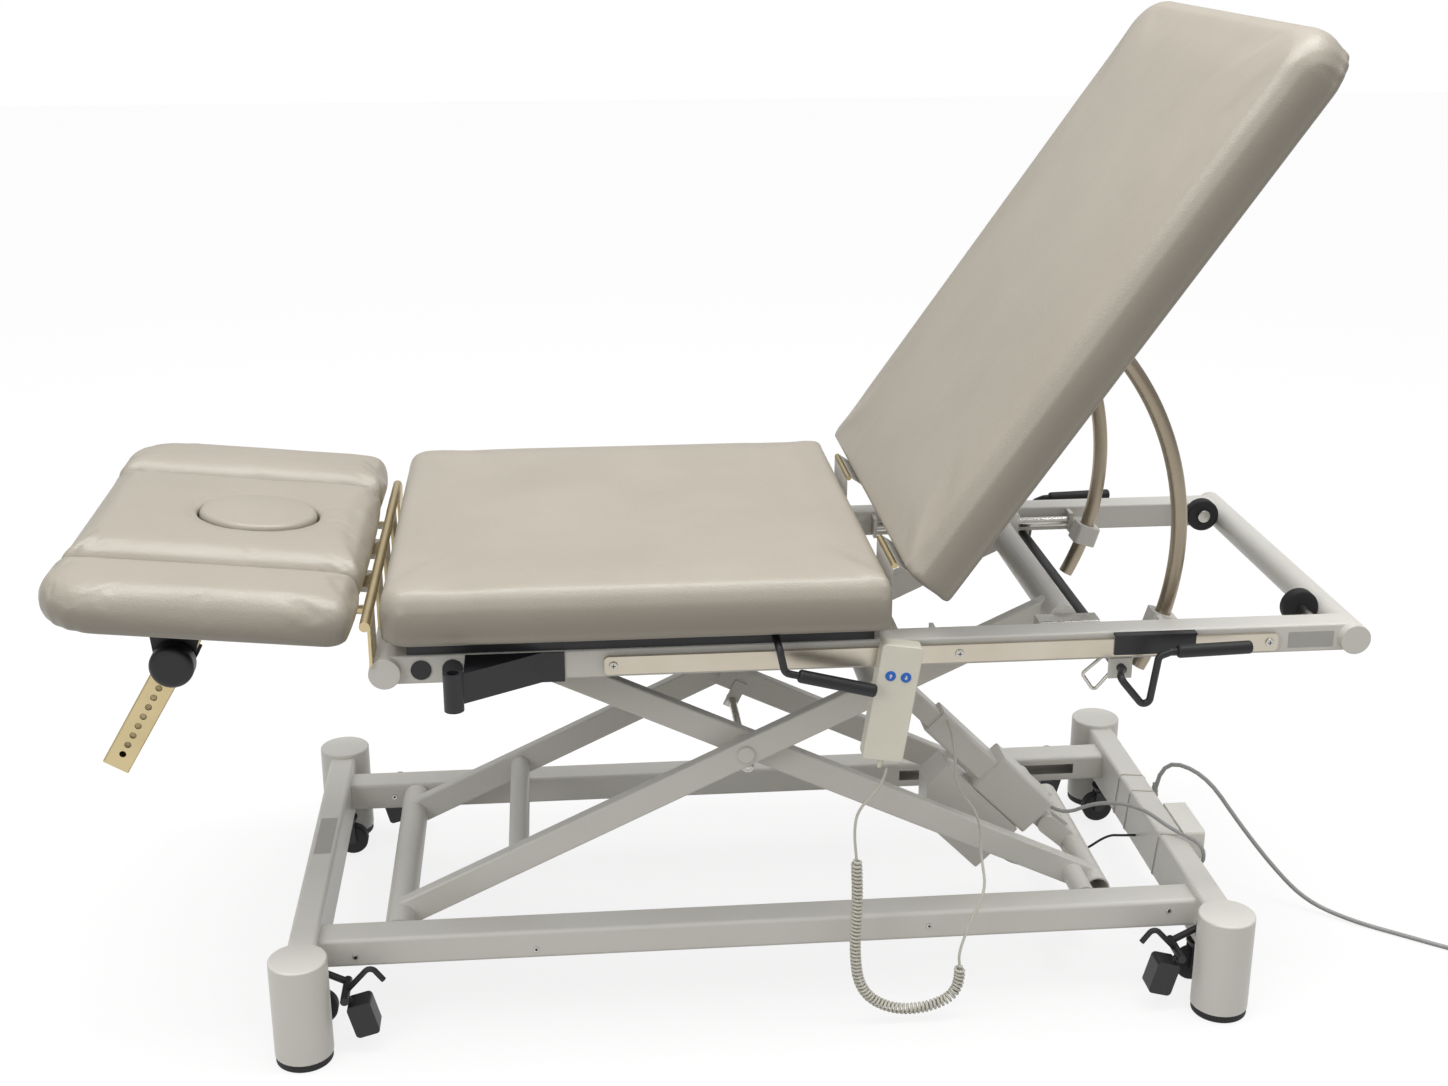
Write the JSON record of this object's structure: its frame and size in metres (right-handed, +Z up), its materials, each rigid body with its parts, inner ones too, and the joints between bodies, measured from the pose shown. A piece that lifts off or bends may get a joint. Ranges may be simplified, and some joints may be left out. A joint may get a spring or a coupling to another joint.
{
  "type": "treatment table",
  "caption": "Padded treatment table on a painted scissor-lift base, with a raised backrest, a hinged head section with face plug and arm rests, castors and a corded hand control.",
  "frame": {"origin": "on the floor, under the middle of the table without its free cords", "axes": "+X towards the back section, +Y towards the far side (the hand control hangs on the -Y side), +Z up"},
  "size_m": [2.175, 0.7518, 1.3745],
  "materials": {
    "frame_paint": "warm grey powder coat",
    "cushion_vinyl": "soft grained grey-brown vinyl",
    "black_rubber": "matt black rubber",
    "black_plastic": "black plastic",
    "black_paint": "black powder coat",
    "zinc_steel": "yellow passivated zinc",
    "satin_steel": "satin drawn steel",
    "cream_plastic": "cream plastic",
    "blue_plastic": "blue button",
    "pale_cord": "pale grey cord",
    "grey_cord": "grey cord",
    "white_plastic": "off-white plastic"
  },
  "bodies": {
    "base": {"base_cross_beams": "frame_paint", "base_long_rails": "frame_paint", "base_columns": "frame_paint", "rubber_feet": "black_rubber", "control_box": "white_plastic", "mains_cord": "grey_cord", "mains_coil": "grey_cord", "mains_plug": "black_plastic", "inner_cables": "grey_cord"},
    "outer_lift": {"outer_lift_arms": "frame_paint"},
    "inner_lift": {"inner_lift_arms": "frame_paint"},
    "lower_slider": {"lower_slider_blocks": "black_plastic"},
    "upper_slider": {"upper_slider_blocks": "zinc_steel"},
    "actuator": {"actuator_housing": "frame_paint", "actuator_motor": "white_plastic"},
    "actuator_rod": {"actuator_column": "frame_paint"},
    "top_frame": {"frame_side_rails": "frame_paint", "frame_end_tubes": "frame_paint", "frame_fittings": "frame_paint", "arc_clamps": "frame_paint", "accessory_rail": "zinc_steel", "accessory_socket": "black_paint", "bumpers": "black_rubber", "seat_cushion": "cushion_vinyl", "handset_cord": "pale_cord", "handset_curl": "pale_cord"},
    "release": {"release_levers": "black_paint"},
    "head_release": {"head_lever": "black_paint"},
    "back": {"back_frame": "frame_paint", "arc_tubes": "satin_steel", "back_cushion": "cushion_vinyl"},
    "head": {"head_frame": "frame_paint", "head_cushion": "cushion_vinyl", "armrest_posts": "zinc_steel"},
    "plug": {"face_plug": "cushion_vinyl"},
    "armrest_far": {"armrest_bracket_far": "black_paint", "armrest_pad_far": "cushion_vinyl"},
    "armrest_near": {"armrest_bracket_near": "black_paint", "armrest_pad_near": "cushion_vinyl"},
    "knob_far": {"armrest_knob_far": "black_plastic"},
    "knob_near": {"armrest_knob_near": "black_plastic"},
    "hand_control": {"handset": "cream_plastic"},
    "up_button": {"button_up": "blue_plastic"},
    "down_button": {"button_down": "blue_plastic"},
    "pedal_lever_right_far": {"pedal_right_far": "black_paint"},
    "carriage_right_far": {"castor_carriage_right_far": "black_paint"},
    "fork_right_far": {"castor_fork_right_far": "black_paint"},
    "wheel_right_far": {"castor_wheel_right_far": "black_rubber"},
    "pedal_lever_right_near": {"pedal_right_near": "black_paint"},
    "carriage_right_near": {"castor_carriage_right_near": "black_paint"},
    "fork_right_near": {"castor_fork_right_near": "black_paint"},
    "wheel_right_near": {"castor_wheel_right_near": "black_rubber"},
    "pedal_lever_left_far": {"pedal_left_far": "black_paint"},
    "carriage_left_far": {"castor_carriage_left_far": "black_paint"},
    "fork_left_far": {"castor_fork_left_far": "black_paint"},
    "wheel_left_far": {"castor_wheel_left_far": "black_rubber"},
    "pedal_lever_left_near": {"pedal_left_near": "black_paint"},
    "carriage_left_near": {"castor_carriage_left_near": "black_paint"},
    "fork_left_near": {"castor_fork_left_near": "black_paint"},
    "wheel_left_near": {"castor_wheel_left_near": "black_rubber"}
  },
  "joints": [
    {"name": "lift", "type": "hinge", "parent": "base", "child": "outer_lift", "pos_m": [-0.4603, 0, 0.117], "axis": [0, -1, 0], "range_deg": [-10, 15], "deforming": ["handset_cord", "handset_curl", "inner_cables"]},
    {"name": "crossing", "type": "hinge", "parent": "outer_lift", "child": "inner_lift", "pos_m": [0.03974, 0, 0.35315], "axis": [0, -1, 0], "range_deg": [-30, 20]},
    {"name": "frame_level", "type": "hinge", "parent": "inner_lift", "child": "top_frame", "pos_m": [-0.39827, 0, 0.56], "axis": [0, -1, 0], "range_deg": [-10, 15]},
    {"name": "upper_slider_level", "type": "hinge", "parent": "outer_lift", "child": "upper_slider", "pos_m": [0.47776, 0, 0.56], "axis": [0, -1, 0], "range_deg": [-15, 10]},
    {"name": "lower_slider_level", "type": "hinge", "parent": "inner_lift", "child": "lower_slider", "pos_m": [0.53979, 0, 0.117], "axis": [0, -1, 0], "range_deg": [-10, 15]},
    {"name": "actuator_pivot", "type": "hinge", "parent": "inner_lift", "child": "actuator", "pos_m": [0.5297, 0, 0.138], "axis": [0, -1, 0], "range_deg": [-6, 4]},
    {"name": "actuator_stroke", "type": "slide", "parent": "actuator", "child": "actuator_rod", "axis": [-0.7078, 0, 0.7064], "range_m": [-0.0656, 0.0984]},
    {"name": "back_tilt", "type": "hinge", "parent": "top_frame", "child": "back", "pos_m": [0.2297, 0, 0.665], "axis": [0, -1, 0], "range_deg": [-55, 6.5]},
    {"name": "head_tilt", "type": "hinge", "parent": "top_frame", "child": "head", "pos_m": [-0.4703, 0, 0.622], "axis": [0, 1, 0], "range_deg": [-35, 24]},
    {"name": "face_plug_lift", "type": "slide", "parent": "head", "child": "plug", "axis": [0.1002, 0, 0.995], "range_m": [0, 0.07]},
    {"name": "release_turn", "type": "hinge", "parent": "top_frame", "child": "release", "pos_m": [0.5397, 0, 0.519], "axis": [0, -1, 0], "range_deg": [0, 10], "stiffness_Nm_per_rad": 8, "springref_deg": -11.46},
    {"name": "head_lever_turn", "type": "hinge", "parent": "top_frame", "child": "head_release", "pos_m": [0.0647, 0, 0.586], "axis": [0, -1, 0], "range_deg": [0, 15], "stiffness_Nm_per_rad": 1.5, "springref_deg": -17.19},
    {"name": "hand_control_unhook", "type": "slide", "parent": "top_frame", "child": "hand_control", "axis": [0, 0, 1], "range_m": [0, 0.02]},
    {"name": "up_button_press", "type": "slide", "parent": "hand_control", "child": "up_button", "axis": [0, 1, 0], "range_m": [0, 0.0014], "stiffness_N_per_m": 600, "springref_m": -0.001},
    {"name": "down_button_press", "type": "slide", "parent": "hand_control", "child": "down_button", "axis": [0, 1, 0], "range_m": [0, 0.0014], "stiffness_N_per_m": 600, "springref_m": -0.001},
    {"name": "armrest_height_far", "type": "slide", "parent": "head", "child": "armrest_far", "axis": [-0.515, 0, -0.8572], "range_m": [0, 0.116]},
    {"name": "knob_pull_far", "type": "slide", "parent": "armrest_far", "child": "knob_far", "axis": [0, 1, 0], "range_m": [-0.005, 0.003]},
    {"name": "armrest_height_near", "type": "slide", "parent": "head", "child": "armrest_near", "axis": [-0.515, 0, -0.8572], "range_m": [0, 0.116]},
    {"name": "knob_pull_near", "type": "slide", "parent": "armrest_near", "child": "knob_near", "axis": [0, -1, 0], "range_m": [-0.005, 0.003]},
    {"name": "pedal_press_right_far", "type": "hinge", "parent": "base", "child": "pedal_lever_right_far", "pos_m": [0.7057, 0.281, 0.112], "axis": [0, -1, 0], "range_deg": [0, 15], "stiffness_Nm_per_rad": 15, "springref_deg": -8.59},
    {"name": "castor_drop_right_far", "type": "slide", "parent": "base", "child": "carriage_right_far", "axis": [0, 0, -1], "range_m": [0, 0.00337]},
    {"name": "castor_swivel_right_far", "type": "hinge", "parent": "carriage_right_far", "child": "fork_right_far", "pos_m": [0.7057, 0.252, 0.06], "axis": [0, 0, 1], "continuous": true},
    {"name": "castor_roll_right_far", "type": "hinge", "parent": "fork_right_far", "child": "wheel_right_far", "pos_m": [0.6917, 0.252, 0.027], "axis": [0, 1, 0], "continuous": true},
    {"name": "pedal_press_right_near", "type": "hinge", "parent": "base", "child": "pedal_lever_right_near", "pos_m": [0.7057, -0.281, 0.112], "axis": [0, -1, 0], "range_deg": [0, 15], "stiffness_Nm_per_rad": 15, "springref_deg": -8.59},
    {"name": "castor_drop_right_near", "type": "slide", "parent": "base", "child": "carriage_right_near", "axis": [0, 0, -1], "range_m": [0, 0.00337]},
    {"name": "castor_swivel_right_near", "type": "hinge", "parent": "carriage_right_near", "child": "fork_right_near", "pos_m": [0.7057, -0.252, 0.06], "axis": [0, 0, 1], "continuous": true},
    {"name": "castor_roll_right_near", "type": "hinge", "parent": "fork_right_near", "child": "wheel_right_near", "pos_m": [0.6917, -0.252, 0.027], "axis": [0, 1, 0], "continuous": true},
    {"name": "pedal_press_left_far", "type": "hinge", "parent": "base", "child": "pedal_lever_left_far", "pos_m": [-0.5863, 0.281, 0.112], "axis": [0, 1, 0], "range_deg": [0, 15], "stiffness_Nm_per_rad": 15, "springref_deg": -8.59},
    {"name": "castor_drop_left_far", "type": "slide", "parent": "base", "child": "carriage_left_far", "axis": [0, 0, -1], "range_m": [0, 0.00337]},
    {"name": "castor_swivel_left_far", "type": "hinge", "parent": "carriage_left_far", "child": "fork_left_far", "pos_m": [-0.5863, 0.252, 0.06], "axis": [0, 0, 1], "continuous": true},
    {"name": "castor_roll_left_far", "type": "hinge", "parent": "fork_left_far", "child": "wheel_left_far", "pos_m": [-0.5723, 0.252, 0.027], "axis": [0, 1, 0], "continuous": true},
    {"name": "pedal_press_left_near", "type": "hinge", "parent": "base", "child": "pedal_lever_left_near", "pos_m": [-0.5863, -0.281, 0.112], "axis": [0, 1, 0], "range_deg": [0, 15], "stiffness_Nm_per_rad": 15, "springref_deg": -8.59},
    {"name": "castor_drop_left_near", "type": "slide", "parent": "base", "child": "carriage_left_near", "axis": [0, 0, -1], "range_m": [0, 0.00337]},
    {"name": "castor_swivel_left_near", "type": "hinge", "parent": "carriage_left_near", "child": "fork_left_near", "pos_m": [-0.5863, -0.252, 0.06], "axis": [0, 0, 1], "continuous": true},
    {"name": "castor_roll_left_near", "type": "hinge", "parent": "fork_left_near", "child": "wheel_left_near", "pos_m": [-0.5723, -0.252, 0.027], "axis": [0, 1, 0], "continuous": true}
  ],
  "couplings": [
    {"joint": "crossing", "follows": "lift", "ratio": -2},
    {"joint": "frame_level", "follows": "lift", "ratio": 1},
    {"joint": "upper_slider_level", "follows": "lift", "ratio": -1},
    {"joint": "lower_slider_level", "follows": "lift", "ratio": 1},
    {"joint": "actuator_pivot", "follows": "lift", "ratio": -0.4},
    {"joint": "actuator_stroke", "follows": "lift", "m_per_rad": 0.37529},
    {"joint": "castor_drop_right_far", "follows": "pedal_press_right_far", "m_per_rad": 0.012852},
    {"joint": "castor_drop_right_near", "follows": "pedal_press_right_near", "m_per_rad": 0.012852},
    {"joint": "castor_drop_left_far", "follows": "pedal_press_left_far", "m_per_rad": 0.012852},
    {"joint": "castor_drop_left_near", "follows": "pedal_press_left_near", "m_per_rad": 0.012852}
  ]
}
